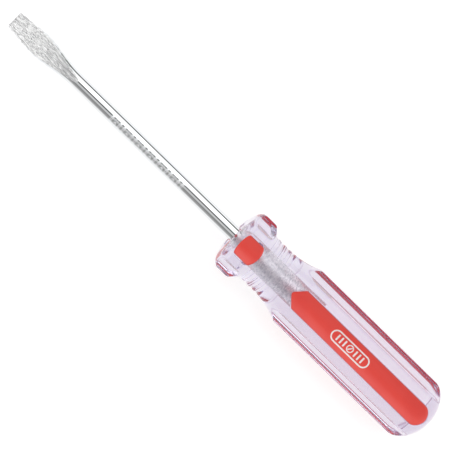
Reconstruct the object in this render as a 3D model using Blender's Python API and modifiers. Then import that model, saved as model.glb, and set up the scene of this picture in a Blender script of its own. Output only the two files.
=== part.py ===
"""Slotted screwdriver: a forged blade in a clear fluted handle with red lacquered flutes.

Frame: +X runs from the tip to the butt along the tool's axis, the origin is the centre of the tip's end face,
and +Z is the outward direction of the front flute and of the blade's broad face. Metres.
"""
import math

import bmesh
import bpy
from mathutils import Matrix, Vector

MM = 0.001

# Blade
SHANK_RADIUS = 3.97 * MM
EXPOSED_LENGTH = 152.4 * MM
TANG_LENGTH = 56.0 * MM
TANG_RADIUS = 4.6 * MM
TANG_STEP_START = 0.4 * MM
TANG_STEP_END = 1.0 * MM
TIP_WIDTH = 9.2 * MM
TIP_THICKNESS = 1.2 * MM
FLARE_WIDTH = 12.6 * MM
FLARE_X = 17.4 * MM
SHANK_START_X = 41.5 * MM
FLAT_END_X = 43.0 * MM
SHARPEST_EDGE = math.radians(72)
RING_POINTS_FLAT = 8
RING_POINTS_SIDE = 12
FLARE_STATIONS = 4
TAPER_STATIONS = 14

# Handle, with lengths measured from the collar's front face
HANDLE_LENGTH = 134.8 * MM
FACE_RADIUS = 9.8 * MM
COLLAR_RADIUS = 17.85 * MM
SHOULDER_LENGTH = 4.7 * MM
COLLAR_END = 11.1 * MM
CHAMFER_END = 15.5 * MM
NECK_RADIUS = 13.6 * MM
FLARE_START = 26.0 * MM
FLARE_END = 43.5 * MM
BODY_RADIUS = 17.5 * MM
DOME_START = 125.2 * MM
DOME_CENTRE = 122.3 * MM
BUTT_FLAT_RADIUS = 7.3 * MM
GROOVE_CENTRES = (20.0 * MM, 23.8 * MM, 27.1 * MM)
GROOVE_HALF_WIDTH = 0.9 * MM
GROOVE_DEPTH = 0.45 * MM
BORE_GAP = 0.3 * MM

# Flutes
FLUTE_COUNT = 6
FLUTE_FLOOR = 15.3 * MM
FLUTE_HALF_WIDTH = 6.2 * MM

# Lacquer and print
FULL_COAT = (-5.95 * MM, 5.95 * MM)
PART_COAT = (-5.95 * MM, 1.20 * MM)
LACQUER_THICKNESS = 0.35 * MM
INLAY_GAP = 0.15 * MM
RECESS_OVERRUN = 5 * MM
PRINT_CENTRE = 78.1 * MM
PRINT_LENGTH = 25.0 * MM
PRINT_HEIGHT = 6.6 * MM
PRINT_THICKNESS = 0.2 * MM
PRINT_GAP = 0.1 * MM

# Facets
TURNED_STEPS = 72
CUTTER_SIDES = 96
ARC_STEPS = 8
FLARE_STEPS = 6
CAPSULE_SIDES = 32

FLUTE_EDGE_Z = math.sqrt(BODY_RADIUS**2 - FLUTE_HALF_WIDTH**2)
FLUTE_SAG = FLUTE_EDGE_Z - FLUTE_FLOOR
FLUTE_RADIUS = (FLUTE_HALF_WIDTH**2 + FLUTE_SAG**2) / (2 * FLUTE_SAG)
FLUTE_AXIS = FLUTE_FLOOR + FLUTE_RADIUS
FLUTE_ROD_LENGTH = HANDLE_LENGTH * 1.2
LACQUERED = {"front": 0, "right": 2, "left": 4}
COAT_SPAN = {"front": FULL_COAT, "right": PART_COAT, "left": PART_COAT}


def clear_scene():
    for obj in list(bpy.data.objects):
        bpy.data.objects.remove(obj, do_unlink=True)


def make_collection(name, hidden=False):
    collection = bpy.data.collections.new(name)
    bpy.context.scene.collection.children.link(collection)
    collection.hide_render = hidden
    return collection


def make_material(name, colour, roughness, metallic=0.0, transmission=0.0, ior=1.48):
    material = bpy.data.materials.new(name)
    material.use_nodes = True
    shader = material.node_tree.nodes["Principled BSDF"]
    shader.inputs["Base Color"].default_value = (*colour, 1.0)
    shader.inputs["Roughness"].default_value = roughness
    shader.inputs["Metallic"].default_value = metallic
    shader.inputs["Transmission Weight"].default_value = transmission
    shader.inputs["IOR"].default_value = ior
    material.diffuse_color = (*colour, 1.0)
    return material


def add_mesh_object(name, mesh, collection, material=None):
    obj = bpy.data.objects.new(name, mesh)
    collection.objects.link(obj)
    if material:
        mesh.materials.append(material)
    return obj


def add_cutter(name, mesh, collection):
    obj = add_mesh_object(name, mesh, collection)
    obj.hide_render = True
    obj.display_type = "WIRE"
    return obj


def add_boolean(obj, other, operation):
    modifier = obj.modifiers.new(f"{operation.lower()}_{other.name}", "BOOLEAN")
    modifier.operation = operation
    modifier.solver = "EXACT"
    modifier.object = other


def arc(centre, radii, start, end, steps):
    """Points of an elliptical arc in (distance along the axis, radius), from angle start to end."""
    points = []
    for i in range(steps + 1):
        angle = start + (end - start) * i / steps
        points.append((centre[0] + radii[0] * math.cos(angle), centre[1] + radii[1] * math.sin(angle)))
    return points


def dome_radii():
    """Half axes, along the tool and across it, of the ellipse through the butt flat's rim and the dome's crease."""
    near = (DOME_START - DOME_CENTRE) ** 2
    far = (HANDLE_LENGTH - DOME_CENTRE) ** 2
    across = math.sqrt((BODY_RADIUS**2 * far - BUTT_FLAT_RADIUS**2 * near) / (far - near))
    along = math.sqrt(far / (1 - (BUTT_FLAT_RADIUS / across) ** 2))
    return along, across


def dome_profile():
    """The butt, from the rim of its flat to the crease where the dome meets the body."""
    along, across = dome_radii()
    start = math.asin(BUTT_FLAT_RADIUS / across)
    end = math.asin(BODY_RADIUS / across)
    return arc((DOME_CENTRE, 0.0), (along, across), start, end, ARC_STEPS)


def neck_radius(distance):
    """The neck, and the hollow curve that widens it to the body."""
    length = FLARE_END - FLARE_START
    rise = BODY_RADIUS - NECK_RADIUS
    radius = (length**2 + rise**2) / (2 * rise)
    beyond = max(0.0, distance - FLARE_START)
    return NECK_RADIUS + radius - math.sqrt(radius**2 - beyond**2)


def flare_profile():
    """From the body to just behind the last ring groove."""
    start = GROOVE_CENTRES[-1] + GROOVE_HALF_WIDTH
    distances = [FLARE_END + (start - FLARE_END) * i / FLARE_STEPS for i in range(FLARE_STEPS)]
    return [(distance, neck_radius(distance)) for distance in distances]


def groove_profile():
    """The neck's ring grooves, from the flare towards the collar."""
    points = []
    for centre in reversed(GROOVE_CENTRES):
        for offset, depth in ((1, 0), (1 / 3, GROOVE_DEPTH), (-1 / 3, GROOVE_DEPTH), (-1, 0)):
            distance = centre + offset * GROOVE_HALF_WIDTH
            points.append((distance, neck_radius(distance) - depth))
    return points


def outer_profile():
    """(distance from the collar's face, radius) of the handle, from the butt's centre to the collar's face."""
    points = [(HANDLE_LENGTH, 0.0)]
    points += dome_profile()
    points += flare_profile()
    points += groove_profile()
    points.append((CHAMFER_END, NECK_RADIUS))
    points.append((COLLAR_END, COLLAR_RADIUS))
    shoulder_radii = (SHOULDER_LENGTH, COLLAR_RADIUS - FACE_RADIUS)
    points += arc((SHOULDER_LENGTH, FACE_RADIUS), shoulder_radii, math.pi / 2, math.pi, ARC_STEPS)
    return points


def bore_profile():
    radius = TANG_RADIUS + BORE_GAP
    depth = TANG_LENGTH + BORE_GAP
    return [(0.0, radius), (depth, radius), (depth, 0.0)]


def turned_mesh(name, profile):
    """A mesh edge chain of the profile, for a Screw about the local Z axis that the object lays along X."""
    mesh = bpy.data.meshes.new(name)
    points = [(radius, 0.0, distance) for distance, radius in profile]
    edges = [(i, i + 1) for i in range(len(points) - 1)]
    mesh.from_pydata(points, edges, [])
    return mesh


def lay_along_x(obj):
    obj.location = (EXPOSED_LENGTH, 0.0, 0.0)
    obj.rotation_euler = (0.0, math.pi / 2, 0.0)


def add_screw(obj):
    screw = obj.modifiers.new("turned", "SCREW")
    screw.axis = "Z"
    screw.angle = 2 * math.pi
    screw.steps = TURNED_STEPS
    screw.render_steps = TURNED_STEPS
    screw.use_merge_vertices = True
    screw.merge_threshold = 1e-6
    screw.use_smooth_shade = True


def add_blank(collection):
    """The handle's solid outer form, before its flutes and bore."""
    mesh = turned_mesh("handle_blank", outer_profile() + [(0.0, 0.0)])
    blank = add_cutter("handle_blank", mesh, collection)
    lay_along_x(blank)
    add_screw(blank)
    return blank


def flute_rod(name, radius, index, collection):
    """A rod parallel to the tool's axis, on the centre line of one flute's arc."""
    mesh = bpy.data.meshes.new(name)
    shape = bmesh.new()
    bmesh.ops.create_cone(
        shape, cap_ends=True, segments=CUTTER_SIDES, radius1=radius, radius2=radius, depth=FLUTE_ROD_LENGTH
    )
    shape.to_mesh(mesh)
    shape.free()
    mesh.transform(Matrix.Rotation(math.pi / 2, 4, "Y"))
    mesh.transform(Matrix.Translation((EXPOSED_LENGTH + HANDLE_LENGTH / 2, 0.0, FLUTE_AXIS)))
    rod = add_cutter(name, mesh, collection)
    rod.rotation_euler = (-index * 2 * math.pi / FLUTE_COUNT, 0.0, 0.0)
    return rod


def bar_mesh(name, low_corner, high_corner):
    """A box between two opposite corners."""
    mesh = bpy.data.meshes.new(name)
    shape = bmesh.new()
    low, high = Vector(low_corner), Vector(high_corner)
    bmesh.ops.create_cube(shape, size=1.0, matrix=Matrix.LocRotScale((low + high) / 2, None, high - low))
    shape.to_mesh(mesh)
    shape.free()
    return mesh


def inlay_bar(name, start, end, span, margin=0.0):
    """A bar over one flute, which spans it from one distance off its centre line to another."""
    low = FLUTE_FLOOR - 2 * LACQUER_THICKNESS
    high = COLLAR_RADIUS + 2 * MM
    low_corner = (EXPOSED_LENGTH + start, span[0] - margin, low)
    return bar_mesh(name, low_corner, (EXPOSED_LENGTH + end, span[1] + margin, high))


def add_recess_cutter(side, collection):
    """Cuts the shallow seat of the lacquer into one flute's floor, along the whole handle."""
    index = LACQUERED[side]
    name = f"recess_{index}"
    end = HANDLE_LENGTH + RECESS_OVERRUN
    mesh = inlay_bar(name, -RECESS_OVERRUN, end, COAT_SPAN[side], INLAY_GAP)
    recess = add_cutter(name, mesh, collection)
    recess.rotation_euler = (-index * 2 * math.pi / FLUTE_COUNT, 0.0, 0.0)
    rod = flute_rod(f"recess_rod_{index}", FLUTE_RADIUS + LACQUER_THICKNESS + INLAY_GAP, index, collection)
    add_boolean(recess, rod, "INTERSECT")
    return recess


def add_handle(collection, cutters, material):
    handle = add_mesh_object("handle", turned_mesh("handle", outer_profile() + bore_profile()), collection, material)
    lay_along_x(handle)
    add_screw(handle)
    for index in range(FLUTE_COUNT):
        add_boolean(handle, flute_rod(f"flute_{index}", FLUTE_RADIUS, index, cutters), "DIFFERENCE")
    for side in LACQUERED:
        add_boolean(handle, add_recess_cutter(side, cutters), "DIFFERENCE")
    return handle


def add_lacquer(name, side, start, end, collection, cutters, blank, material):
    """A coat on one flute between two distances from the collar's face, trimmed to the handle's outer form."""
    index = LACQUERED[side]
    obj = add_mesh_object(name, inlay_bar(name, start, end, COAT_SPAN[side]), collection, material)
    obj.rotation_euler = (-index * 2 * math.pi / FLUTE_COUNT, 0.0, 0.0)
    under = flute_rod(f"{name}_under", FLUTE_RADIUS + LACQUER_THICKNESS, index, cutters)
    add_boolean(obj, under, "INTERSECT")
    add_boolean(obj, bpy.data.objects[f"flute_{index}"], "DIFFERENCE")
    add_boolean(obj, blank, "INTERSECT")
    return obj


def capsule_mesh(name, length, height, low, high):
    """A flat bar with round ends, made as a disc whose halves are drawn apart."""
    mesh = bpy.data.meshes.new(name)
    shape = bmesh.new()
    bmesh.ops.create_cone(
        shape, cap_ends=True, segments=CAPSULE_SIDES, radius1=height / 2, radius2=height / 2, depth=high - low
    )
    for vertex in shape.verts:
        vertex.co.z += (low + high) / 2
        vertex.co.x += math.copysign((length - height) / 2, vertex.co.x)
    shape.to_mesh(mesh)
    shape.free()
    return mesh


def add_print(collection, cutters, material):
    mesh = capsule_mesh("print_mark", PRINT_LENGTH, PRINT_HEIGHT, FLUTE_FLOOR - 1 * MM, COLLAR_RADIUS + 1 * MM)
    mesh.transform(Matrix.Translation((EXPOSED_LENGTH + PRINT_CENTRE, 0.0, 0.0)))
    obj = add_mesh_object("print_mark", mesh, collection, material)
    add_boolean(obj, flute_rod("print_under", FLUTE_RADIUS - PRINT_GAP, 0, cutters), "INTERSECT")
    over = flute_rod("print_over", FLUTE_RADIUS - PRINT_GAP - PRINT_THICKNESS, 0, cutters)
    add_boolean(obj, over, "DIFFERENCE")
    return obj


def smoothstep(value):
    value = min(1.0, max(0.0, value))
    return value * value * (3 - 2 * value)


def blade_half_width(x):
    """Straight flare from the tip to its widest point, then a smooth taper down to the shank."""
    if x <= FLARE_X:
        return (TIP_WIDTH + (FLARE_WIDTH - TIP_WIDTH) * x / FLARE_X) / 2
    taper = smoothstep((x - FLARE_X) / (SHANK_START_X - FLARE_X))
    return FLARE_WIDTH / 2 + (SHANK_RADIUS - FLARE_WIDTH / 2) * taper


def blade_half_thickness(x):
    """The two broad faces are planes that leave the round shank at FLAT_END_X."""
    slope = (SHANK_RADIUS - TIP_THICKNESS / 2) / FLAT_END_X
    return min(TIP_THICKNESS / 2 + slope * x, SHANK_RADIUS)


def tang_growth(x):
    """The tang is upset to a larger radius just inside the collar's face."""
    share = (x - EXPOSED_LENGTH - TANG_STEP_START) / (TANG_STEP_END - TANG_STEP_START)
    return 1 + (TANG_RADIUS / SHANK_RADIUS - 1) * max(0.0, min(1.0, share))


def blade_ring(x):
    """One cross-section: an ellipse as wide as the blade and as thick as the shank, cut by the broad faces."""
    half_width = blade_half_width(x)
    half_thickness = blade_half_thickness(x)
    edge = min(SHARPEST_EDGE, math.asin(half_thickness / SHANK_RADIUS))
    points = []
    for start, end, count in (
        (edge, math.pi - edge, RING_POINTS_FLAT),
        (math.pi - edge, math.pi + edge, RING_POINTS_SIDE),
        (math.pi + edge, 2 * math.pi - edge, RING_POINTS_FLAT),
        (-edge, edge, RING_POINTS_SIDE),
    ):
        for i in range(count):
            angle = start + (end - start) * i / count
            y = half_width * math.cos(angle)
            z = max(-half_thickness, min(half_thickness, SHANK_RADIUS * math.sin(angle)))
            points.append(Vector((x, y * tang_growth(x), z * tang_growth(x))))
    return points


def blade_stations():
    taper = FLAT_END_X + 1 * MM - FLARE_X
    stations = [FLARE_X * i / FLARE_STATIONS for i in range(FLARE_STATIONS + 1)]
    stations += [FLARE_X + taper * (i + 1) / TAPER_STATIONS for i in range(TAPER_STATIONS)]
    stations += [EXPOSED_LENGTH + reach for reach in (TANG_STEP_START, TANG_STEP_END, TANG_LENGTH)]
    return stations


def add_blade(collection, material):
    """A loft through unlike sections, from the flat tip to the round tang."""
    mesh = bpy.data.meshes.new("blade")
    shape = bmesh.new()
    rings = [[shape.verts.new(point) for point in blade_ring(x)] for x in blade_stations()]
    for near, far in zip(rings, rings[1:]):
        for i in range(len(near)):
            j = (i + 1) % len(near)
            shape.faces.new((near[i], near[j], far[j], far[i]))
    shape.faces.new(list(reversed(rings[0])))
    shape.faces.new(rings[-1])
    bmesh.ops.recalc_face_normals(shape, faces=shape.faces)
    shape.to_mesh(mesh)
    shape.free()
    mesh.shade_smooth()
    mesh.set_sharp_from_angle(angle=math.radians(25))
    return add_mesh_object("blade", mesh, collection, material)


def main():
    clear_scene()
    parts = make_collection("screwdriver")
    cutters = make_collection("cutters", hidden=True)
    acetate = make_material("clear_acetate", (0.90, 0.84, 0.93), 0.05, transmission=1.0)
    lacquer = make_material("red_lacquer", (0.71, 0.06, 0.05), 0.35)
    ink = make_material("white_ink", (0.90, 0.88, 0.87), 0.45)
    chrome = make_material("chrome_steel", (0.78, 0.79, 0.80), 0.12, metallic=1.0)

    blank = add_blank(cutters)
    add_blade(parts, chrome)
    add_handle(parts, cutters, acetate)
    for side in LACQUERED:
        add_lacquer(f"collar_patch_{side}", side, 0.0, CHAMFER_END, parts, cutters, blank, lacquer)
        add_lacquer(f"stripe_{side}", side, FLARE_START, HANDLE_LENGTH, parts, cutters, blank, lacquer)
    add_print(parts, cutters, ink)


main()
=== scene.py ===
"""Looks of the slotted screwdriver: a chromed blade in a clear acetate handle with red lacquered flutes.

The frame's axes hold throughout: +X from the tip to the butt, +Z out of the front flute, metres.
"h" is a distance from the collar's front face along +X, and an angle is turned from +Z towards +Y.
"""
import math
import bpy
import numpy as np
from mathutils import Matrix, Vector


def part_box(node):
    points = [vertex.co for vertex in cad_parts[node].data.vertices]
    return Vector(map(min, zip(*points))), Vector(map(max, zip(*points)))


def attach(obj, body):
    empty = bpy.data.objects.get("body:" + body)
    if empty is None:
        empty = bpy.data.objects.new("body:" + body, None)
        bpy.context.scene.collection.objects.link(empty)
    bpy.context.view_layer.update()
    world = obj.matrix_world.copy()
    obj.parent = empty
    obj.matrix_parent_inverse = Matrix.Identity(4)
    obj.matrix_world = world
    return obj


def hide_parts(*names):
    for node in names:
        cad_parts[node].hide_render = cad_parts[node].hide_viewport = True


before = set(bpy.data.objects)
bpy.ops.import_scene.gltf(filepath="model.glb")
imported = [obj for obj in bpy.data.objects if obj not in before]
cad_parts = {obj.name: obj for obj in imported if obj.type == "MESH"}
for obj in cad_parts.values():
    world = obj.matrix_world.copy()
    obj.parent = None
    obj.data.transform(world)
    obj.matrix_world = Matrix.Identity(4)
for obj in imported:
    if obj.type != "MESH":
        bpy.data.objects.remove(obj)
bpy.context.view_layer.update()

MM = 0.001
TINY = 1e-9

# Places and sizes that the frame gives
BLADE_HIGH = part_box("blade")[1]
HANDLE_LOW, HANDLE_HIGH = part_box("handle")
TANG_RADIUS = BLADE_HIGH.z
SPREAD_HALF_WIDTH = BLADE_HIGH.y
COLLAR_X = HANDLE_LOW.x
HANDLE_LENGTH = HANDLE_HIGH.x - HANDLE_LOW.x
TANG_DEPTH = BLADE_HIGH.x - COLLAR_X
COLLAR_RADIUS = HANDLE_HIGH.y
PRINT_LOW, PRINT_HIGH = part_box("print_mark")

# Shank, and where it thickens into the tang inside the collar
SHANK_RADIUS = 3.97 * MM
TANG_STEP_START = 0.4 * MM
TANG_STEP_END = 1.0 * MM

# Handle outline
FACE_RADIUS = 9.8 * MM
SHOULDER_LENGTH = 4.7 * MM
COLLAR_END = 11.1 * MM
CHAMFER_END = 15.5 * MM
NECK_RADIUS = 13.6 * MM
GROOVE_CENTRES = (20.0 * MM, 23.8 * MM, 27.1 * MM)
GROOVE_HALF_WIDTH = 1.4 * MM
GROOVE_DEPTH = 0.62 * MM
NECK_STEPS = 90
FLARE_START = 26.0 * MM
FLARE_END = 43.5 * MM
BODY_RADIUS = 17.5 * MM
CREASE = 125.2 * MM
DOME_CENTRE = 122.3 * MM
BUTT_FLAT_RADIUS = 7.3 * MM
BUTT_EDGE = 0.3 * MM
BUTT_MIDDLE = 1 * MM
CORNER_RADIUS = 0.5 * MM
CORNER_PASSES = 3

# The outline's points come closer together over these lengths beside the flare and the crease
FLARE_BLEND = 2 * MM
CREASE_BLEND = 1 * MM

# Flutes: arcs in section, all six alike, which run out over the dome
FLUTES = 6
FLUTE_FLOOR = 15.3 * MM
FLUTE_HALF_WIDTH = 6.2 * MM
FLUTE_SAG = math.sqrt(BODY_RADIUS**2 - FLUTE_HALF_WIDTH**2) - FLUTE_FLOOR
FLUTE_RADIUS = (FLUTE_HALF_WIDTH**2 + FLUTE_SAG**2) / (2 * FLUTE_SAG)
FLUTE_AXIS = FLUTE_FLOOR + FLUTE_RADIUS
FLUTE_SAG_ON_AXIS = BODY_RADIUS - FLUTE_FLOOR
FLUTE_EDGE_ANGLE = math.degrees(math.asin(FLUTE_HALF_WIDTH / BODY_RADIUS))
RUNOUT_LENGTH = 6.0 * MM
RUNOUT_POWER = 1.2
EDGE_SOFTNESS = 0.35 * MM
SHOULDER_SOFTNESS = 2.4 * MM
SEAM_DEPTH = 0.14 * MM
SEAM_WIDTH = 0.30 * MM
# The dark purple line of painted shade along the flutes' edges: its width, and its strength beside the seam's
EDGE_SHADE_WIDTH = 0.18 * MM
EDGE_SHADE_SHARE = 0.5

# The handle's columns, crowded together beside each flute's edge, in degrees
COLUMNS_PER_FLUTE = 68
CROWDING = 2.2
CROWD_OUTSIDE_EDGE = 0.6
CROWD_WIDTH = 1.8
CROWD_SAMPLES = 2001

# Lacquer: the flute and the part of it that is coated, from -1 at one edge to 1 at the other
LACQUERED_FLUTES = {"front": (0, -1.0, 1.0), "right": (2, -1.0, 0.2), "left": (4, -1.0, 0.2)}
COAT_HALF_WIDTH = 6.1 * MM
COAT_SKIN = 0.04 * MM
COAT_COLUMNS = 36
COAT_EDGE_SHARE = 0.25
COAT_EDGE_STEEPNESS = 8
# Where the painted shade at each coat's edges begins across it, and over how many rows at its ends
RIM_START = 0.93
RIM_ROWS = 5

# Where the coats begin and end: h on the flute's centre line, then h at its edges
COLLAR_COAT_FRONT_START = (1.7 * MM, 2.9 * MM)
COLLAR_COAT_FRONT_END = (14.2 * MM, 11.6 * MM)
COLLAR_COAT_REAR_START = (4.4 * MM, 4.8 * MM)
COLLAR_COAT_REAR_END = (15.2 * MM, 14.8 * MM)
COLLAR_COAT_ROWS = 90
STRIPE_START = (37.7 * MM, 42.6 * MM)
STRIPE_END = (CREASE + 6.0 * MM, CREASE + 0.4 * MM)
STRIPE_ROWS = 160
NOSE_ROUNDING = 0.06

# Steel against the acetate: the bore is a touch tighter than the tang that fills it
PRESS_FIT = 0.02 * MM


def polar(x, radius, angle):
    """Points at a distance from the tool's axis."""
    return np.stack(np.broadcast_arrays(x, radius * np.sin(angle), radius * np.cos(angle)), axis=-1)


def smooth_min(a, b, softness):
    blend = np.clip(softness - np.abs(a - b), 0, None) / softness
    return np.minimum(a, b) - blend**2 * softness / 4


def smoothstep(value):
    value = np.clip(value, 0, 1)
    return value * value * (3 - 2 * value)


def arc(centre, radii, start, end, steps):
    """Points of an elliptical arc in (h, radius)."""
    angles = np.linspace(start, end, steps + 1)
    return [(centre[0] + radii[0] * math.cos(a), centre[1] + radii[1] * math.sin(a)) for a in angles]


def line(start, end, steps):
    """Points from start to end, without the last."""
    return [tuple(np.array(start) + (np.array(end) - np.array(start)) * i / steps) for i in range(steps)]


def softened(points, reach, passes):
    """The same outline with its corners rounded, by sliding each point towards its neighbours' middle."""
    points = np.array(points)
    for _ in range(passes):
        before, after = points[:-2], points[2:]
        gap = np.maximum(np.linalg.norm(after - before, axis=1, keepdims=True), TINY)
        share = np.clip(reach / gap, 0, 0.5)
        points[1:-1] += share * ((before + after) / 2 - points[1:-1])
    return points


def neck_outline():
    """The neck with its three rounded ring grooves, and the hollow curve that widens it to the body."""
    length = FLARE_END - FLARE_START
    rise = BODY_RADIUS - NECK_RADIUS
    hollow = (length**2 + rise**2) / (2 * rise)
    h = np.linspace(CHAMFER_END, FLARE_END, NECK_STEPS)[:-1]
    beyond = np.clip(h - FLARE_START, 0, None)
    radius = NECK_RADIUS + hollow - np.sqrt(hollow**2 - beyond**2)
    dip = sum(smoothstep(1 - np.abs(h - centre) / GROOVE_HALF_WIDTH) for centre in GROOVE_CENTRES)
    return list(zip(h, radius - GROOVE_DEPTH * dip))


def dome_outline():
    """Part of an ellipse, from the crease at the end of the body to the rim of the butt's flat."""
    near = (CREASE - DOME_CENTRE) ** 2
    far = (HANDLE_LENGTH - DOME_CENTRE) ** 2
    across = math.sqrt((BODY_RADIUS**2 * far - BUTT_FLAT_RADIUS**2 * near) / (far - near))
    along = math.sqrt(far / (1 - (BUTT_FLAT_RADIUS / across) ** 2))
    start, end = math.asin(BODY_RADIUS / across), math.asin(BUTT_FLAT_RADIUS / across)
    return arc((DOME_CENTRE, 0), (along, across), start, end, steps=78)


def handle_outline():
    """(h, radius) from the edge of the collar's face to the edge of the butt's small flat."""
    shoulder = arc(
        (SHOULDER_LENGTH, FACE_RADIUS),
        (SHOULDER_LENGTH, COLLAR_RADIUS - FACE_RADIUS),
        math.pi,
        math.pi / 2,
        steps=24,
    )
    points = shoulder[:-1]
    body_start, body_end = FLARE_END + FLARE_BLEND, CREASE - CREASE_BLEND
    points += line((SHOULDER_LENGTH, COLLAR_RADIUS), (COLLAR_END, COLLAR_RADIUS), steps=12)
    points += line((COLLAR_END, COLLAR_RADIUS), (CHAMFER_END, NECK_RADIUS), steps=14)
    points += neck_outline()
    points += line((FLARE_END, BODY_RADIUS), (body_start, BODY_RADIUS), steps=6)
    points += line((body_start, BODY_RADIUS), (body_end, BODY_RADIUS), steps=12)
    points += line((body_end, BODY_RADIUS), (CREASE, BODY_RADIUS), steps=6)
    points += dome_outline()
    points += line((HANDLE_LENGTH, BUTT_FLAT_RADIUS - BUTT_EDGE), (HANDLE_LENGTH, BUTT_MIDDLE), steps=4)
    return points


def off_flute(angle):
    """How far an angle lies from the nearest flute's centre line."""
    pitch = 2 * math.pi / FLUTES
    return (angle + pitch / 2) % pitch - pitch / 2


def flute_surface(angle):
    """The flutes' distance from the axis at an angle, on the straight body."""
    off = off_flute(angle)
    within = np.clip(FLUTE_RADIUS**2 - (FLUTE_AXIS * np.sin(off)) ** 2, 0, None)
    return FLUTE_AXIS * np.cos(off) - np.sqrt(within)


def above_flute(h, outline_radius, angle):
    """How far the turned outline stands above the flutes, which shoal over the dome."""
    runout = np.clip((h - CREASE) / RUNOUT_LENGTH, 0, None)
    on_body = outline_radius - flute_surface(angle)
    on_dome = np.clip(BODY_RADIUS - flute_surface(angle), 0, None) - FLUTE_SAG_ON_AXIS * runout**RUNOUT_POWER
    return np.where(h > CREASE, on_dome, on_body)


# Besides the seam's shallow groove, this places the dark purple line of painted shade at the dome's edge
def dome_seam(h, outline_radius, angle):
    """1 on the fine seam at the dome's edge, which crosses the lands and goes round the end of each flute."""
    in_flute = smoothstep((BODY_RADIUS - flute_surface(angle)) / (2 * SEAM_WIDTH))
    scallop = np.exp(-((above_flute(h, outline_radius, angle) / SEAM_WIDTH) ** 2)) * (h > CREASE) * in_flute
    ring = np.exp(-(((h - CREASE) / SEAM_WIDTH) ** 2)) * (1 - in_flute)
    return np.maximum(scallop, ring)


# Where a dark purple line of painted shade runs along the flutes' edges
def edge_shade_line(h, outline_radius, angle):
    """1 on the edges where the flutes meet the lands, the collar and the flare."""
    return np.exp(-((above_flute(h, outline_radius, angle) / EDGE_SHADE_WIDTH) ** 2)) * (h < CREASE)


def handle_surface(h, outline_radius, angle):
    """The handle's distance from the axis, where the flutes cut the turned outline."""
    softness = SHOULDER_SOFTNESS + (EDGE_SOFTNESS - SHOULDER_SOFTNESS) * smoothstep(h / SHOULDER_LENGTH)
    flute = outline_radius - above_flute(h, outline_radius, angle)
    return smooth_min(outline_radius, flute, softness) - SEAM_DEPTH * dome_seam(h, outline_radius, angle)


def column_angles():
    """Angles round the handle, closer together where a flute meets a land."""
    fine = np.linspace(-180 / FLUTES, 180 / FLUTES, CROWD_SAMPLES)
    beyond_edge = np.abs(fine) - FLUTE_EDGE_ANGLE - CROWD_OUTSIDE_EDGE
    density = 1 + CROWDING * np.exp(-((beyond_edge / CROWD_WIDTH) ** 2))
    share = np.concatenate([[0], np.cumsum((density[1:] + density[:-1]) / 2)])
    sector = np.interp(np.linspace(0, share[-1], COLUMNS_PER_FLUTE + 1)[:-1], share, fine)
    return np.radians(np.concatenate([sector + 360 / FLUTES * index for index in range(FLUTES)]))


def make_object(name, points, faces, material, smooth_angle=None):
    mesh = bpy.data.meshes.new(name)
    mesh.from_pydata([tuple(p) for p in points], [], faces)
    mesh.validate()
    mesh.shade_smooth()
    if smooth_angle is not None:
        mesh.set_sharp_from_angle(angle=math.radians(smooth_angle))
    mesh.materials.append(material)
    obj = bpy.data.objects.new(name, mesh)
    bpy.context.scene.collection.objects.link(obj)
    return obj


def add_attribute(obj, name, values):
    """One number for each point of the mesh, for a material to read."""
    attribute = obj.data.attributes.new(name, "FLOAT", "POINT")
    attribute.data.foreach_set("value", np.asarray(values, dtype=np.float32))


def tube_faces(ring_count, columns):
    """Quads between closed rings along +X. They face away from the axis if the rings run as polar does."""
    faces = []
    for ring in range(ring_count - 1):
        base = ring * columns
        for i in range(columns):
            j = (i + 1) % columns
            faces.append((base + i, base + columns + i, base + columns + j, base + j))
    return faces


def fan_faces(first, columns, centre, reverse):
    faces = []
    for i in range(columns):
        j = (i + 1) % columns
        faces.append((centre, first + j, first + i) if reverse else (centre, first + i, first + j))
    return faces


def as_piece(obj, node):
    """obj takes the place of a CAD node, if one is named."""
    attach(obj, "root")
    if node:
        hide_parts(node)
    return obj


# ---------------------------------------------------------------- handle


def build_handle(material):
    """One moulding: the bore from its end to the face, the face, the outer surface and the butt."""
    angles = column_angles()
    columns = len(angles)
    bore_radius = TANG_RADIUS - PRESS_FIT
    bore_end = TANG_DEPTH - PRESS_FIT
    rings = [polar(COLLAR_X + bore_end, np.full(columns, bore_radius), angles)]
    rings.append(polar(COLLAR_X, np.full(columns, bore_radius), angles))
    seam = [np.zeros(2 * columns)]
    dome = [np.zeros(2 * columns)]
    for h, radius in softened(handle_outline(), CORNER_RADIUS, CORNER_PASSES):
        above = above_flute(h, radius, angles)
        rings.append(polar(COLLAR_X + h, handle_surface(h, radius, angles), angles))
        # The seam attribute: where a dark purple line of painted shade goes
        seam.append(np.maximum(dome_seam(h, radius, angles), EDGE_SHADE_SHARE * edge_shade_line(h, radius, angles)))
        # The dome attribute: where the acetate is tinted darker and bluer, as painted shade
        dome.append(smoothstep((h - CREASE) / SEAM_WIDTH) * smoothstep(-above / SEAM_WIDTH))
    points = np.concatenate(rings)
    bore_centre, butt_centre = len(points), len(points) + 1
    ends = [(COLLAR_X + bore_end, 0, 0), (COLLAR_X + HANDLE_LENGTH, 0, 0)]
    points = np.concatenate([points, ends])
    faces = tube_faces(len(rings), columns)
    faces += fan_faces(0, columns, bore_centre, reverse=False)
    faces += fan_faces((len(rings) - 1) * columns, columns, butt_centre, reverse=True)
    obj = make_object("handle_moulding", points, faces, material)
    add_attribute(obj, "seam", np.concatenate(seam + [np.zeros(2)]))
    add_attribute(obj, "dome", np.concatenate(dome + [np.array([0.0, 1.0])]))
    return as_piece(obj, "handle")


# ---------------------------------------------------------------- lacquer


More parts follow.
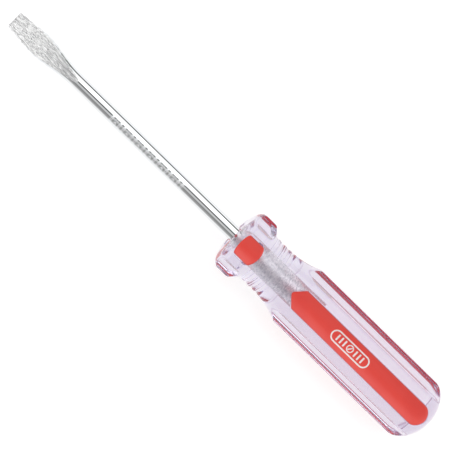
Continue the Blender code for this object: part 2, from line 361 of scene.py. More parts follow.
def coat_faces(rows, columns):
    """Quads of a closed skin whose points are its outer grid and then its inner grid."""
    width = columns + 1
    half = (rows + 1) * width
    faces = []
    for row in range(rows):
        for i in range(columns):
            a, b = row * width + i, row * width + i + 1
            faces.append((a, a + width, b + width, b))
            faces.append((half + a, half + b, half + b + width, half + a + width))
    last = rows * width
    for i in range(columns):
        faces.append((i, i + 1, half + i + 1, half + i))
        faces.append((last + i + 1, last + i, half + last + i, half + last + i + 1))
    for row in range(rows):
        a, b = row * width, (row + 1) * width
        faces.append((b, a, half + a, half + b))
        faces.append((a + columns, b + columns, half + b + columns, half + a + columns))
    return faces


# The mask of the painted shade along each coat's edges and ends
def coat_edge_shade(spread, rows):
    """Rises to 1 at the coat's edges, for the points of one grid."""
    at_sides = np.clip((np.abs(spread) - RIM_START) / (1 - RIM_START), 0, 1)
    from_end = np.minimum(np.arange(rows + 1), np.arange(rows + 1)[::-1])
    at_ends = np.clip(1 - from_end / RIM_ROWS, 0, 1)
    return np.maximum(at_sides, at_ends[:, None]).ravel()


def coat(name, node, place, start, end, material, rows):
    """A closed skin of lacquer over part of one flute.

    start and end give h for a place across the flute, from -1 at one edge to 1 at the other.
    """
    flute, low, high = place
    spread = np.sin(np.linspace(-math.pi / 2, math.pi / 2, COAT_COLUMNS + 1))
    across = low + (spread + 1) / 2 * (high - low)
    turn = flute * 2 * math.pi / FLUTES
    half_angle = np.arcsin(COAT_HALF_WIDTH / BODY_RADIUS)
    outline = np.array(handle_outline())
    outer, inner = [], []
    for row in range(rows + 1):
        share = (1 - math.cos(math.pi * row / rows)) / 2
        h = start(across) + (end(across) - start(across)) * share
        radius = np.interp(h, outline[:, 0], outline[:, 1])
        flute_off = half_angle * across
        surface = np.array([handle_surface(a, b, c) for a, b, c in zip(h, radius, flute_off)])
        from_edge = np.minimum(1 - np.abs(spread), 2 * min(share, 1 - share))
        edge = np.minimum(1, COAT_EDGE_STEEPNESS * from_edge)
        rise = COAT_SKIN * (COAT_EDGE_SHARE + (1 - COAT_EDGE_SHARE) * smoothstep(edge))
        outer.append(polar(COLLAR_X + h, surface + rise, flute_off + turn))
        inner.append(polar(COLLAR_X + h, surface - COAT_SKIN, flute_off + turn))
    points = np.concatenate(outer + inner)
    half = len(points) // 2
    obj = make_object(name, points, coat_faces(rows, COAT_COLUMNS), material, smooth_angle=50)
    add_attribute(obj, "underside", np.concatenate([np.zeros(half), np.ones(half)]))
    # The rim attribute: where the coat is painted darker, as painted shade
    add_attribute(obj, "rim", np.tile(coat_edge_shade(spread, rows), 2))
    return as_piece(obj, node)


def rounded_end(apex, corner):
    """h across the flute, from apex on its centre line to corner at its edges, along part of an ellipse."""
    return lambda across: corner + (apex - corner) * np.sqrt(np.clip(1 - across**2, 0, 1))


def pointed_end(apex, corner):
    """A blunt point: straight sides with a rounded nose."""
    nose = math.sqrt(NOSE_ROUNDING)
    whole = math.sqrt(1 + NOSE_ROUNDING) - nose
    return lambda across: apex + (corner - apex) * (np.sqrt(across**2 + NOSE_ROUNDING) - nose) / whole


def build_lacquer(material):
    for side, place in LACQUERED_FLUTES.items():
        whole = side == "front"
        collar_start = COLLAR_COAT_FRONT_START if whole else COLLAR_COAT_REAR_START
        collar_end = COLLAR_COAT_FRONT_END if whole else COLLAR_COAT_REAR_END
        coat(
            f"collar_coat_{side}",
            f"collar_patch_{side}",
            place,
            rounded_end(*collar_start),
            rounded_end(*collar_end),
            material,
            rows=COLLAR_COAT_ROWS,
        )
        coat(
            f"stripe_coat_{side}",
            f"stripe_{side}",
            place,
            pointed_end(*STRIPE_START),
            rounded_end(*STRIPE_END),
            material,
            rows=STRIPE_ROWS,
        )


# ---------------------------------------------------------------- blade

TIP_HALF_WIDTH = 4.6 * MM
TIP_HALF_THICKNESS = 0.6 * MM
SPREAD_X = 17.4 * MM
SHANK_START_X = 41.5 * MM
FLAT_END_X = 43.0 * MM
TIP_END_X = FLAT_END_X + 1 * MM
STEEPEST_EDGE = math.radians(84)
RING_FLAT = 40
RING_SIDE = 24
TIP_STATIONS = 150
SHANK_STATIONS = 80
STEP_STATIONS = 4
TANG_STATIONS = 30

# The waver of the hammered edges, as waves of (radians a metre, shift between the edges, share)
EDGE_WAVER = 0.15 * MM
EDGE_WAVES = ((1500, 2, 1.0), (2700, 1, 0.7), (4300, 0, 0.5))
WAVER_FADE = 3 * MM
WAVER_POWER = 4

# The ridges hammered into the broad faces. Rates are in radians a metre.
RELIEF = 0.07 * MM
RIDGE_RATE = 2600
RIDGE_SWAY = 2
RIDGE_SWAY_RATE = 400
RIDGE_LEVEL = 0.6
BEAT_RATE = 1500
BEAT_SWAY = 1.7
BEAT_SWAY_RATE = 900
BEAT_SHARE = 0.4


def edge_waver(x, side):
    """The hammered edges of the spread end wander by a fraction of a millimetre."""
    towards_shank = smoothstep((SHANK_START_X - x) / (SHANK_START_X - SPREAD_X))
    fade = float(towards_shank * smoothstep(x / WAVER_FADE))
    waves = sum(share * math.sin(rate * x + shift * side) for rate, shift, share in EDGE_WAVES)
    return EDGE_WAVER * fade * waves


def hammered(x, y):
    """Relief of the broad faces: shallow, wandering ridges that run mostly along the blade."""
    ridges = np.abs(np.sin(RIDGE_RATE * y + RIDGE_SWAY * math.sin(RIDGE_SWAY_RATE * x)))
    beats = 1 - BEAT_SHARE + BEAT_SHARE * np.sin(BEAT_RATE * x + BEAT_SWAY * np.sin(BEAT_SWAY_RATE * y))
    return RELIEF * (ridges - RIDGE_LEVEL) * beats


def blade_half_width(x):
    if x <= SPREAD_X:
        return TIP_HALF_WIDTH + (SPREAD_HALF_WIDTH - TIP_HALF_WIDTH) * x / SPREAD_X
    return SPREAD_HALF_WIDTH + (SHANK_RADIUS - SPREAD_HALF_WIDTH) * float(
        smoothstep((x - SPREAD_X) / (SHANK_START_X - SPREAD_X))
    )


def blade_half_thickness(x):
    slope = (SHANK_RADIUS - TIP_HALF_THICKNESS) / FLAT_END_X
    return min(TIP_HALF_THICKNESS + slope * x, SHANK_RADIUS)


def blade_ring(x):
    """(points, 1 for each on a broad face and 0 elsewhere) of one cross-section.

    Unlike polar's, its angles are turned from +Y towards +Z.
    """
    half_width = blade_half_width(x)
    half_thickness = blade_half_thickness(x)
    edge = min(STEEPEST_EDGE, math.asin(half_thickness / SHANK_RADIUS))
    angles = np.concatenate(
        [
            np.linspace(edge, math.pi - edge, RING_FLAT, endpoint=False),
            np.linspace(math.pi - edge, math.pi + edge, RING_SIDE, endpoint=False),
            np.linspace(math.pi + edge, 2 * math.pi - edge, RING_FLAT, endpoint=False),
            np.linspace(-edge, edge, RING_SIDE, endpoint=False),
        ]
    )
    growth = np.interp(x - COLLAR_X, (TANG_STEP_START, TANG_STEP_END), (1, TANG_RADIUS / SHANK_RADIUS))
    y = half_width * np.cos(angles) * growth
    waver = np.where(y > 0, edge_waver(x, 1), edge_waver(x, -1))
    y = y + np.sign(y) * waver * np.abs(np.cos(angles)) ** WAVER_POWER
    round_z = SHANK_RADIUS * np.sin(angles)
    z = np.clip(round_z, -half_thickness, half_thickness) * growth
    flat = (np.abs(round_z) >= half_thickness - TINY) & (x < FLAT_END_X)
    z = z + np.sign(z) * flat * hammered(x, y)
    return np.stack([np.full_like(y, x), y, z], axis=-1), flat.astype(float)


def build_blade(material):
    """One forging: the flared tip, the round shank and the thicker tang."""
    step_start, step_end = COLLAR_X + TANG_STEP_START, COLLAR_X + TANG_STEP_END
    stations = np.concatenate(
        [
            np.linspace(0, TIP_END_X, TIP_STATIONS, endpoint=False),
            np.linspace(TIP_END_X, step_start, SHANK_STATIONS, endpoint=False),
            np.linspace(step_start, step_end, STEP_STATIONS, endpoint=False),
            np.linspace(step_end, BLADE_HIGH.x, TANG_STATIONS),
        ]
    )
    rings, flats = zip(*[blade_ring(x) for x in stations])
    columns = len(rings[0])
    end_centres = (rings[0].mean(axis=0, keepdims=True), rings[-1].mean(axis=0, keepdims=True))
    points = np.concatenate(rings + end_centres)
    tip_centre, tang_centre = len(points) - 2, len(points) - 1
    faces = tube_faces(len(rings), columns)
    faces += fan_faces(0, columns, tip_centre, reverse=False)
    faces += fan_faces((len(rings) - 1) * columns, columns, tang_centre, reverse=True)
    # The blade's rings run the other way round from polar's
    outward = [face[::-1] for face in faces]
    obj = make_object("blade_forging", points, outward, material, smooth_angle=30)
    add_attribute(obj, "ground", np.concatenate(flats + ([1.0], [0.0])))
    return as_piece(obj, "blade")


MARKS_START_X = 67.5 * MM
MARKS_END_X = 115.5 * MM
MARK_COUNT = 19
MARK_MIDDLE = math.radians(-17)
MARK_HALF_HEIGHT = 1.65 * MM
MARK_HALF_LENGTH = 0.85 * MM
MARK_RISE = 0.2 * MM
MARK_SLOPE = 0.4 * MM
MARK_ROWS = 7
MARK_SINK = 0.02 * MM
MARK_ROOT = 0.4 * MM
MARK_SPLIT = 0.3 * MM
MARK_CYCLE = 3
WHOLE_MARK_SHARE = 0.8


def raised_bar(points, faces, x, arc_from, arc_to, half_length):
    """A plain pressed-up bar with sloping sides, on the shank between two arc positions round it."""
    rows = np.linspace(arc_from, arc_to, MARK_ROWS)
    reaches = (-half_length, MARK_SLOPE - half_length, half_length - MARK_SLOPE, half_length)
    width = len(reaches)
    first = len(points)
    for row, place in enumerate(rows):
        angle = MARK_MIDDLE + place / SHANK_RADIUS
        for column, reach in enumerate(reaches):
            at_foot = row in (0, len(rows) - 1) or column in (0, width - 1)
            radius = SHANK_RADIUS + (-MARK_SINK if at_foot else MARK_RISE)
            points.append((x + reach, radius * math.sin(angle), radius * math.cos(angle)))
    for row in range(len(rows) - 1):
        for column in range(width - 1):
            a = first + row * width + column
            faces.append((a, a + 1, a + width + 1, a + width))
    under = len(points)
    for angle in (MARK_MIDDLE + arc_from / SHANK_RADIUS, MARK_MIDDLE + arc_to / SHANK_RADIUS):
        for reach in (-half_length, half_length):
            radius = SHANK_RADIUS - MARK_ROOT
            points.append((x + reach, radius * math.sin(angle), radius * math.cos(angle)))
    # Walls down to the root at the two arc positions, then at the bar's two ends, then the root
    last = first + (len(rows) - 1) * width
    faces.append((under, under + 1) + tuple(range(first + width - 1, first - 1, -1)))
    faces.append((under + 3, under + 2) + tuple(range(last, last + width)))
    faces.append((under + 2, under) + tuple(range(first, last + 1, width)))
    faces.append((under + 1, under + 3) + tuple(range(last + width - 1, first, -width)))
    faces.append((under, under + 2, under + 3, under + 1))


def build_shank_marks(material):
    """A row of plain raised bars, every third one split in two, where the shank carries embossed marks."""
    points, faces = [], []
    for index, x in enumerate(np.linspace(MARKS_START_X, MARKS_END_X, MARK_COUNT)):
        if index % MARK_CYCLE == 1:
            raised_bar(points, faces, x, -MARK_HALF_HEIGHT, -MARK_SPLIT, MARK_HALF_LENGTH)
            raised_bar(points, faces, x, MARK_SPLIT, MARK_HALF_HEIGHT, MARK_HALF_LENGTH)
        else:
            half_length = MARK_HALF_LENGTH * WHOLE_MARK_SHARE
            raised_bar(points, faces, x, -MARK_HALF_HEIGHT, MARK_HALF_HEIGHT, half_length)
    obj = make_object("shank_marks", points, faces, material, smooth_angle=20)
    return as_piece(obj, None)


# ---------------------------------------------------------------- materials


def colour(red, green, blue):
    return (red, green, blue, 1.0)


# Blender's Mix node by socket number: the share, then (first, second, result) for colours and for values
MIX_FACTOR = 0
MIX_COLOUR_SOCKETS = (6, 7, 2)
MIX_VALUE_SOCKETS = (2, 3, 0)


class Nodes:
    """A material's node tree, with short calls that add nodes and link them."""

    def __init__(self, name):
        self.material = bpy.data.materials.new(name)
        self.material.use_nodes = True
        self.tree = self.material.node_tree
        self.shader = self.tree.nodes["Principled BSDF"]
        self.output = self.tree.nodes["Material Output"]
        self.place = self.tree.nodes.new("ShaderNodeTexCoord").outputs["Object"]

    def add(self, kind, inputs=None, **settings):
        node = self.tree.nodes.new("ShaderNode" + kind)
        for key, value in settings.items():
            setattr(node, key, value)
        for key, value in (inputs or {}).items():
            self.feed(node.inputs[key], value)
        return node

    def feed(self, socket, value):
        if isinstance(value, bpy.types.NodeSocket):
            self.tree.links.new(value, socket)
        else:
            socket.default_value = value

    def stretched(self, scale):
        return self.add("Mapping", {"Vector": self.place, "Scale": scale}).outputs["Vector"]

    def noise(self, scale, detail=3.0, roughness=0.5, stretch=(1, 1, 1)):
        inputs = {"Vector": self.stretched(stretch), "Scale": scale, "Detail": detail, "Roughness": roughness}
        return self.add("TexNoise", inputs).outputs["Fac"]

    def ridges(self, scale, stretch=(1, 1, 1)):
        """0 along wandering crease lines, rising away from them."""
        noise = self.noise(scale, detail=3.0, roughness=0.6, stretch=stretch)
        centred = self.add("Math", {0: noise, 1: 0.5}, operation="SUBTRACT").outputs[0]
        size = self.add("Math", {0: centred}, operation="ABSOLUTE").outputs[0]
        return self.ramp(size, 0.0, 0.25)

    def ramp(self, value, low, high, to_low=0.0, to_high=1.0):
        inputs = {"Value": value, "From Min": low, "From Max": high, "To Min": to_low, "To Max": to_high}
        return self.add("MapRange", inputs).outputs["Result"]

    def mix_colour(self, share, first, second):
        return self.mix("RGBA", MIX_COLOUR_SOCKETS, share, first, second)

    def mix_value(self, share, first, second):
        return self.mix("FLOAT", MIX_VALUE_SOCKETS, share, first, second)

    def mix(self, data_type, sockets, share, first, second):
        node = self.add("Mix", data_type=data_type)
        first_socket, second_socket, result_socket = sockets
        self.feed(node.inputs[MIX_FACTOR], share)
        self.feed(node.inputs[first_socket], first)
        self.feed(node.inputs[second_socket], second)
        return node.outputs[result_socket]

    def bump(self, height, strength, distance):
        inputs = {"Height": height, "Strength": strength, "Distance": distance}
        return self.add("Bump", inputs).outputs["Normal"]

    def attribute(self, name):
        return self.add("Attribute", attribute_name=name).outputs["Fac"]

    def along(self):
        """How far along the tool a point lies."""
        return self.add("SeparateXYZ", {"Vector": self.place}).outputs["X"]

    def set(self, **inputs):
        for key, value in inputs.items():
            self.feed(self.shader.inputs[key.replace("_", " ")], value)


# Acetate
ACETATE_IOR = 1.48
ACETATE_ABSORBS = colour(0.56, 0.46, 0.77)
ACETATE_DENSITY = 14.0
ACETATE_CLEAR = colour(1.0, 1.0, 1.0)
ACETATE_HAZED = colour(0.97, 0.95, 0.98)
# Painted shade: the dome's darker, bluer tint, and the dark purple line at its seam and the flutes' edges
ACETATE_DOME_SHADE = colour(0.84, 0.83, 0.90)
ACETATE_SEAM_SHADE = colour(0.42, 0.28, 0.42)
HAZE_SCALE = 220.0
HAZE_ROUGHNESS = 0.05
SHOULDER_ROUGHNESS = 0.16
DRAG_SCALE = 500.0
DRAG_STRETCH = (0.03, 1, 1)
DRAG_STRENGTH = 0.12
DRAG_DEPTH = 0.1 * MM


def acetate_material():
    """Clear, slightly lavender acetate with long faint drag lines and a light handling haze.

    The turned shoulder is satin. As painted shade, the dome is tinted a little darker and bluer,
    and the dome's seam and the flutes' edges hold a dark purple line.
    """
    nodes = Nodes("clear_acetate")
    haze = nodes.ramp(nodes.noise(HAZE_SCALE, stretch=(0.3, 1, 1)), 0.45, 0.75)
    body = nodes.mix_colour(haze, ACETATE_CLEAR, ACETATE_HAZED)
    # Painted shade: the dome is tinted darker and bluer
    capped = nodes.mix_colour(nodes.attribute("dome"), body, ACETATE_DOME_SHADE)
    satin_from = COLLAR_X + 0.5 * SHOULDER_LENGTH
    satin_to = COLLAR_X + 1.2 * SHOULDER_LENGTH
    turned = nodes.ramp(nodes.along(), satin_from, satin_to, SHOULDER_ROUGHNESS, 0.0)
    hazed = nodes.ramp(haze, 0, 1, 0.0, HAZE_ROUGHNESS)
    nodes.set(
        # Painted shade: a dark purple line along the seam and the flutes' edges
        Base_Color=nodes.mix_colour(nodes.attribute("seam"), capped, ACETATE_SEAM_SHADE),
        Roughness=nodes.add("Math", {0: hazed, 1: turned}, operation="ADD").outputs[0],
        IOR=ACETATE_IOR,
        Transmission_Weight=1.0,
        Normal=nodes.bump(nodes.noise(DRAG_SCALE, stretch=DRAG_STRETCH), DRAG_STRENGTH, DRAG_DEPTH),
    )
    absorb = nodes.add("VolumeAbsorption", {"Color": ACETATE_ABSORBS, "Density": ACETATE_DENSITY})
    nodes.tree.links.new(absorb.outputs["Volume"], nodes.output.inputs["Volume"])
    return nodes.material


# Lacquer
LACQUER_DARK = colour(0.76, 0.05, 0.04)
LACQUER_LIGHT = colour(0.84, 0.075, 0.055)
LACQUER_PATCH = colour(0.74, 0.045, 0.035)
# Painted shade: the coat's darker rim
LACQUER_EDGE_SHADE = colour(0.50, 0.12, 0.13)
# Painted light: the underside of each coat is a lighter, pinker red and glows a little
LACQUER_UNDERSIDE_LIT = colour(0.95, 0.15, 0.18)
LACQUER_PAINTED_GLOW = colour(0.95, 0.12, 0.14)
LACQUER_PAINTED_GLOW_STRENGTH = 0.12
LACQUER_GLOSS = 0.5
LACQUER_ROUGHNESS = (0.28, 0.42)
STREAK_SCALE = 260.0
STREAK_STRETCH = (0.08, 1, 1)
PATCH_SCALE = 60.0
PEEL_SCALE = 900.0
PEEL_STRENGTH = 0.15
PEEL_DEPTH = 0.05 * MM


def lacquer_material():
    """Red lacquer, brushed on by hand: faint streaks along the flute and a soft orange peel.

    Its underside wets the acetate, so it has no gloss of its own.
    As painted light, for the light that comes through the thin coat, the underside is a lighter, pinker red
    and glows a little. Its edges, where the coat thins out, are painted darker: painted shade.
    """
    nodes = Nodes("red_lacquer")
    underside = nodes.attribute("underside")
    streaks = nodes.noise(STREAK_SCALE, stretch=STREAK_STRETCH)
    patches = nodes.noise(PATCH_SCALE)
    base = nodes.mix_colour(streaks, LACQUER_DARK, LACQUER_LIGHT)
    top = nodes.mix_colour(nodes.ramp(patches, 0.5, 0.8), base, LACQUER_PATCH)
    # Painted shade: the coat is darker at its rim
    edged = nodes.mix_colour(nodes.attribute("rim"), top, LACQUER_EDGE_SHADE)
    nodes.set(
        # Painted light: a lighter red and a glow on the underside
        Base_Color=nodes.mix_colour(underside, edged, LACQUER_UNDERSIDE_LIT),
        Emission_Color=LACQUER_PAINTED_GLOW,
        Emission_Strength=nodes.mix_value(underside, 0.0, LACQUER_PAINTED_GLOW_STRENGTH),
        Specular_IOR_Level=nodes.mix_value(underside, LACQUER_GLOSS, 0.0),
        Roughness=nodes.ramp(patches, 0.3, 0.7, *LACQUER_ROUGHNESS),
        Normal=nodes.bump(nodes.noise(PEEL_SCALE), PEEL_STRENGTH, PEEL_DEPTH),
    )
    return nodes.material


# Chromed steel: the hammered faces, the polished shank and the satin tang
WRINKLE_SCALE = 750.0
WRINKLE_STRETCH = (0.22, 1, 1)
# Painted shade: the creases of the hammered faces are coloured dark
WRINKLE_CREASE_SHADE = colour(0.30, 0.30, 0.31)
WRINKLE_BRIGHT = colour(1.0, 1.0, 1.0)
WRINKLE_CREASE = 0.10
WRINKLE_DEPTH = 0.45 * MM
GROUND_ROUGHNESS = 0.5
DRAWN_SCALE = 2400.0
DRAWN_STRETCH = (0.04, 1, 1)
DRAWN_DARK = colour(0.46, 0.46, 0.47)
DRAWN_BEFORE_END = 4 * MM
SHANK_BRIGHT = colour(0.80, 0.81, 0.82)
SHANK_ROUGHNESS = (0.05, 0.10)
SWAY_SCALE = 22.0
SWAY_STRETCH = (1, 0.2, 0.2)
SWAY_DEPTH = 1.2 * MM
POLISH_SCALE = 2200.0
POLISH_STRETCH = (0.2, 1, 1)
PLATED_STRENGTH = 0.5
TANG_FROM = 0.5 * MM
TANG_TO = 1.5 * MM
TANG_DARK = colour(0.70, 0.71, 0.73)
TANG_BRIGHT = colour(1.0, 1.0, 1.0)
TANG_ROUGHNESS = (0.48, 0.60)
MOTTLE_SCALE = 1500.0
MOTTLE_STRETCH = (1, 0.6, 0.6)
WOBBLE_SCALE = 700.0
WOBBLE_STRETCH = (1, 0.35, 0.35)
WOBBLE_DEPTH = 0.5 * MM


def hammered_colour(nodes, wrinkle):
    """Painted shade along the creases of the broad faces, with drawn-out streaks where they run into the
    shank.
    """
    crease_shade = nodes.ramp(wrinkle, 0.0, WRINKLE_CREASE)
    runout = nodes.ramp(nodes.along(), SPREAD_X, FLAT_END_X - DRAWN_BEFORE_END)
    drawn = nodes.ramp(nodes.noise(DRAWN_SCALE, detail=1.0, stretch=DRAWN_STRETCH), 0.42, 0.58)
    crease_shaded = nodes.mix_colour(crease_shade, WRINKLE_CREASE_SHADE, WRINKLE_BRIGHT)
    streaked = nodes.mix_colour(drawn, DRAWN_DARK, crease_shaded)
    return nodes.mix_colour(runout, crease_shaded, streaked)


def chrome_material():
    """Polished plating, wrinkled where the broad faces were hammered out and satin on the tang."""
    nodes = Nodes("chrome_steel")
    ground = nodes.attribute("ground")
    tang = nodes.ramp(nodes.along(), COLLAR_X + TANG_FROM, COLLAR_X + TANG_TO)
    wrinkle = nodes.ridges(WRINKLE_SCALE, stretch=WRINKLE_STRETCH)
    sway = nodes.noise(SWAY_SCALE, detail=1.0, stretch=SWAY_STRETCH)
    wobble = nodes.noise(WOBBLE_SCALE, detail=2.0, stretch=WOBBLE_STRETCH)
    height = nodes.mix_value(tang, sway, wobble)
    depth = nodes.mix_value(tang, SWAY_DEPTH, WOBBLE_DEPTH)
    mottle = nodes.ramp(nodes.noise(MOTTLE_SCALE, detail=2.0, stretch=MOTTLE_STRETCH), 0.36, 0.62)
    dull = nodes.mix_colour(mottle, TANG_DARK, TANG_BRIGHT)
    bright = nodes.mix_colour(tang, SHANK_BRIGHT, dull)
    fine = nodes.noise(POLISH_SCALE, stretch=POLISH_STRETCH)
    shank_polish = nodes.ramp(fine, 0.3, 0.7, *SHANK_ROUGHNESS)
    tang_polish = nodes.ramp(fine, 0.3, 0.7, *TANG_ROUGHNESS)
    polish = nodes.mix_value(tang, shank_polish, tang_polish)
    nodes.set(
        Base_Color=nodes.mix_colour(ground, bright, hammered_colour(nodes, wrinkle)),
        Metallic=1.0,
        Roughness=nodes.mix_value(ground, polish, GROUND_ROUGHNESS),
        Normal=nodes.bump(
            nodes.mix_value(ground, height, wrinkle),
            nodes.mix_value(ground, PLATED_STRENGTH, 1.0),
            nodes.mix_value(ground, depth, WRINKLE_DEPTH),
        ),
    )
    return nodes.material


INK_SCALE = 700.0
INK_SOLID = colour(0.90, 0.86, 0.85)
INK_THIN = colour(0.86, 0.70, 0.68)
INK_ROUGHNESS = 0.45


def ink_material():
    """White ink, a little thin in places so that the red shows through."""
    nodes = Nodes("white_ink")
    mottle = nodes.ramp(nodes.noise(INK_SCALE), 0.35, 0.75)
    nodes.set(Base_Color=nodes.mix_colour(mottle, INK_SOLID, INK_THIN), Roughness=INK_ROUGHNESS)
    return nodes.material


# ---------------------------------------------------------------- print

PRINT_STROKE = 0.75 * MM
PRINT_FILM = 0.05 * MM
CAP_SWEEP = 1.57
SIDE_POINTS = 25
EMBLEM_RADIUS = 1.75 * MM
EMBLEM_STROKE = 0.55 * MM
SLOT_ANGLE = 0.9
SLOT_INSET = 0.4 * MM
SLOT_STROKE = 0.6 * MM
TICKS = 3
TICK_GAP = 2.0 * MM
TICK_PITCH = 2.3 * MM
TICK_HALF_HEIGHT = 1.7 * MM
TICK_STROKE = 0.9 * MM
TICK_POINTS = 7


def capsule_path(half_length, half_height, steps=14):
    """A closed path round a capsule, as (x, y) from its centre."""
    reach = half_length - half_height
    sweep = np.linspace(-CAP_SWEEP, CAP_SWEEP, steps)
    right = [(reach + half_height * math.cos(a), half_height * math.sin(a)) for a in sweep]
    side = [(x, half_height) for x in np.linspace(reach, -reach, SIDE_POINTS)[1:-1]]
    top = right + side
    return top + [(-x, -y) for x, y in top]


def circle_path(radius, steps=32):
    sweep = np.linspace(0, 2 * math.pi, steps + 1)[:-1]
    return [(radius * math.cos(a), radius * math.sin(a)) for a in sweep]


def ribbon(points, faces, path, width, closed):
    """Adds a closed strip of ink along a path to points and faces, laid on the front flute."""
    path = np.array(path)
    if closed:
        ahead, behind = np.roll(path, -1, axis=0), np.roll(path, 1, axis=0)
    else:
        ahead, behind = np.vstack([path[1:], path[-1:]]), np.vstack([path[:1], path[:-1]])
    direction = ahead - behind
    direction /= np.linalg.norm(direction, axis=1, keepdims=True)
    normal = np.stack([-direction[:, 1], direction[:, 0]], axis=1)
    centre = (PRINT_LOW.x + PRINT_HIGH.x) / 2
    first = len(points)
    for place, away in zip(path, normal):
        for side, film in ((-1, -1), (1, -1), (1, 1), (-1, 1)):
            x, y = place + away * side * width / 2
            surface = FLUTE_AXIS - math.sqrt(FLUTE_RADIUS**2 - y**2)
            points.append((centre + x, y, surface + COAT_SKIN + film * PRINT_FILM))
    count = len(path)
    for i in range(count if closed else count - 1):
        a, b = first + 4 * i, first + 4 * ((i + 1) % count)
        faces += [(a + k, a + (k + 1) % 4, b + (k + 1) % 4, b + k) for k in range(4)]
    if not closed:
        last = first + 4 * (count - 1)
        faces += [(first + 3, first + 2, first + 1, first), (last, last + 1, last + 2, last + 3)]


def build_print(material):
    """A plain outlined capsule with a slotted screw head in the middle and three ticks on each side."""
    half_length = (PRINT_HIGH.x - PRINT_LOW.x) / 2
    half_height = PRINT_HIGH.y
    points, faces = [], []
    inset = PRINT_STROKE / 2
    ribbon(points, faces, capsule_path(half_length - inset, half_height - inset), PRINT_STROKE, True)
    ribbon(points, faces, circle_path(EMBLEM_RADIUS), EMBLEM_STROKE, True)
    slot = np.array([math.cos(SLOT_ANGLE), math.sin(SLOT_ANGLE)]) * (EMBLEM_RADIUS - SLOT_INSET)
    ribbon(points, faces, [-slot, slot * 0, slot], SLOT_STROKE, False)
    for side in (-1, 1):
        for index in range(TICKS):
            x = side * (EMBLEM_RADIUS + TICK_GAP + index * TICK_PITCH)
            path = [(x, y) for y in np.linspace(-TICK_HALF_HEIGHT, TICK_HALF_HEIGHT, TICK_POINTS)]
            ribbon(points, faces, path, TICK_STROKE, False)
    obj = make_object("print_ink", points, faces, material, smooth_angle=40)
    return as_piece(obj, "print_mark")


# ---------------------------------------------------------------- studio

FLOOR_HALF = 6.0
FLOOR_DARK = colour(0.38, 0.38, 0.38)
FLOOR_LIGHT = colour(0.42, 0.42, 0.42)
FLOOR_GRAIN_SCALE = 900.0
FLOOR_ROUGHNESS = 0.9
FLOOR_GLOW = 0.75


def build_floor():
    """A pale sheet that the handle lies on. It glows a little, so that it comes out nearly white."""
    nodes = Nodes("pale_floor")
    nodes.set(
        Base_Color=nodes.mix_colour(nodes.noise(FLOOR_GRAIN_SCALE), FLOOR_DARK, FLOOR_LIGHT),
        Roughness=FLOOR_ROUGHNESS,
        Emission_Color=colour(1, 1, 1),
        Emission_Strength=FLOOR_GLOW,
    )
    sides = ((-1, -1), (1, -1), (1, 1), (-1, 1))
    corners = [(x * FLOOR_HALF, y * FLOOR_HALF, HANDLE_LOW.z) for x, y in sides]
    floor = make_object("floor", corners, [(0, 1, 2, 3)], nodes.material)


# The tent's brightness by angle from overhead, positive towards +Y, in degrees
TENT = (
    (-90, 0.75),
    (-70, 0.44),
    (-52, 0.30),
    (-40, 0.26),
    (-33, 0.66),
    (-9, 0.75),
    (-7, 0.06),
    (10, 0.06),
    (14, 1.75),
    (66, 1.75),
    (69, 0.14),
    (90, 0.14),
)

# Its brightness off the tool's two ends, and how far along X the change begins and is complete
TENT_ENDS = 1.0
TENT_ENDS_FROM = 0.45
TENT_ENDS_TO = 0.75


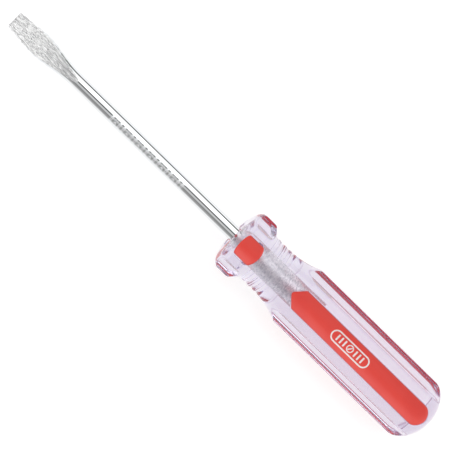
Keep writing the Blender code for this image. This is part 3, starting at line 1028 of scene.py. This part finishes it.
def build_world():
    """A light tent round the tool's axis.

    It has a soft box high on the +Y side with dark below it, greys on the -Y side and a dark slit where the
    camera looks in.
    """
    world = bpy.data.worlds.new("tent")
    world.use_nodes = True
    bpy.context.scene.world = world
    tree = world.node_tree

    def add(kind, **settings):
        node = tree.nodes.new("ShaderNode" + kind)
        for key, value in settings.items():
            setattr(node, key, value)
        return node

    split = add("SeparateXYZ")
    tree.links.new(add("TexCoord").outputs["Generated"], split.inputs[0])
    angle = add("Math", operation="ARCTAN2")
    tree.links.new(split.outputs["Y"], angle.inputs[0])
    tree.links.new(split.outputs["Z"], angle.inputs[1])
    share = add("MapRange")
    share.inputs["From Min"].default_value = -math.pi / 2
    share.inputs["From Max"].default_value = math.pi / 2
    tree.links.new(angle.outputs[0], share.inputs["Value"])
    ramp = add("ValToRGB")
    tree.links.new(share.outputs["Result"], ramp.inputs["Fac"])
    brightest = max(level for _, level in TENT)
    while len(ramp.color_ramp.elements) < len(TENT):
        ramp.color_ramp.elements.new(0.5)
    for element, (degrees, level) in zip(ramp.color_ramp.elements, TENT):
        element.position = (degrees + 90) / 180
        element.color = colour(*(level / brightest,) * 3)
    size = add("Math", operation="ABSOLUTE")
    tree.links.new(split.outputs["X"], size.inputs[0])
    towards_end = add("MapRange", interpolation_type="SMOOTHSTEP")
    towards_end.inputs["From Min"].default_value = TENT_ENDS_FROM
    towards_end.inputs["From Max"].default_value = TENT_ENDS_TO
    tree.links.new(size.outputs[0], towards_end.inputs["Value"])
    mix = add("Mix", data_type="RGBA")
    round_axis, at_ends, mixed = MIX_COLOUR_SOCKETS
    mix.inputs[at_ends].default_value = colour(*(TENT_ENDS / brightest,) * 3)
    tree.links.new(towards_end.outputs["Result"], mix.inputs[MIX_FACTOR])
    tree.links.new(ramp.outputs["Color"], mix.inputs[round_axis])
    tree.links.new(mix.outputs[mixed], tree.nodes["Background"].inputs["Color"])
    tree.nodes["Background"].inputs["Strength"].default_value = brightest


# Camera: above the tool, leaning a little towards the tip and towards +Y
CAMERA_DISTANCE = 1.6
CAMERA_LEAN_TO_TIP = math.radians(9.0)
CAMERA_LEAN_TO_RIGHT = math.radians(3.0)
CAMERA_AIM = Vector((0.14507, -0.00012, 0.0))
CAMERA_LENS = 259.39
CAMERA_SENSOR = 36.0
TOOL_SLOPE = math.radians(44.294)


def build_camera():
    """The tool's +X runs down to the right at TOOL_SLOPE, and +Y up to the right."""
    side = math.sin(CAMERA_LEAN_TO_RIGHT)
    back = math.sin(CAMERA_LEAN_TO_TIP)
    towards = Vector((-back, side, math.sqrt(1 - back**2 - side**2)))
    along = Vector((1, 0, 0))
    along = (along - towards * along.dot(towards)).normalized()
    across = towards.cross(along)
    right = along * math.cos(TOOL_SLOPE) + across * math.sin(TOOL_SLOPE)
    up = towards.cross(right)
    data = bpy.data.cameras.new("camera")
    data.lens = CAMERA_LENS
    data.sensor_width = CAMERA_SENSOR
    camera = bpy.data.objects.new("camera", data)
    place = CAMERA_AIM + towards * CAMERA_DISTANCE
    rows = [(right[i], up[i], towards[i], place[i]) for i in range(3)]
    camera.matrix_world = Matrix(rows + [(0, 0, 0, 1)])
    bpy.context.scene.collection.objects.link(camera)
    bpy.context.scene.camera = camera


# Light is turned back many times inside the acetate, and each turn counts as glossy
CLEAR_BOUNCES = 32
DIFFUSE_BOUNCES = 8


def main():
    scene = bpy.context.scene
    scene.view_settings.view_transform = "Standard"
    scene.cycles.max_bounces = CLEAR_BOUNCES
    scene.cycles.transmission_bounces = CLEAR_BOUNCES
    scene.cycles.glossy_bounces = CLEAR_BOUNCES
    scene.cycles.diffuse_bounces = DIFFUSE_BOUNCES
    chrome = chrome_material()
    build_handle(acetate_material())
    build_lacquer(lacquer_material())
    build_blade(chrome)
    build_shank_marks(chrome)
    build_print(ink_material())
    build_floor()
    build_world()
    build_camera()


main()
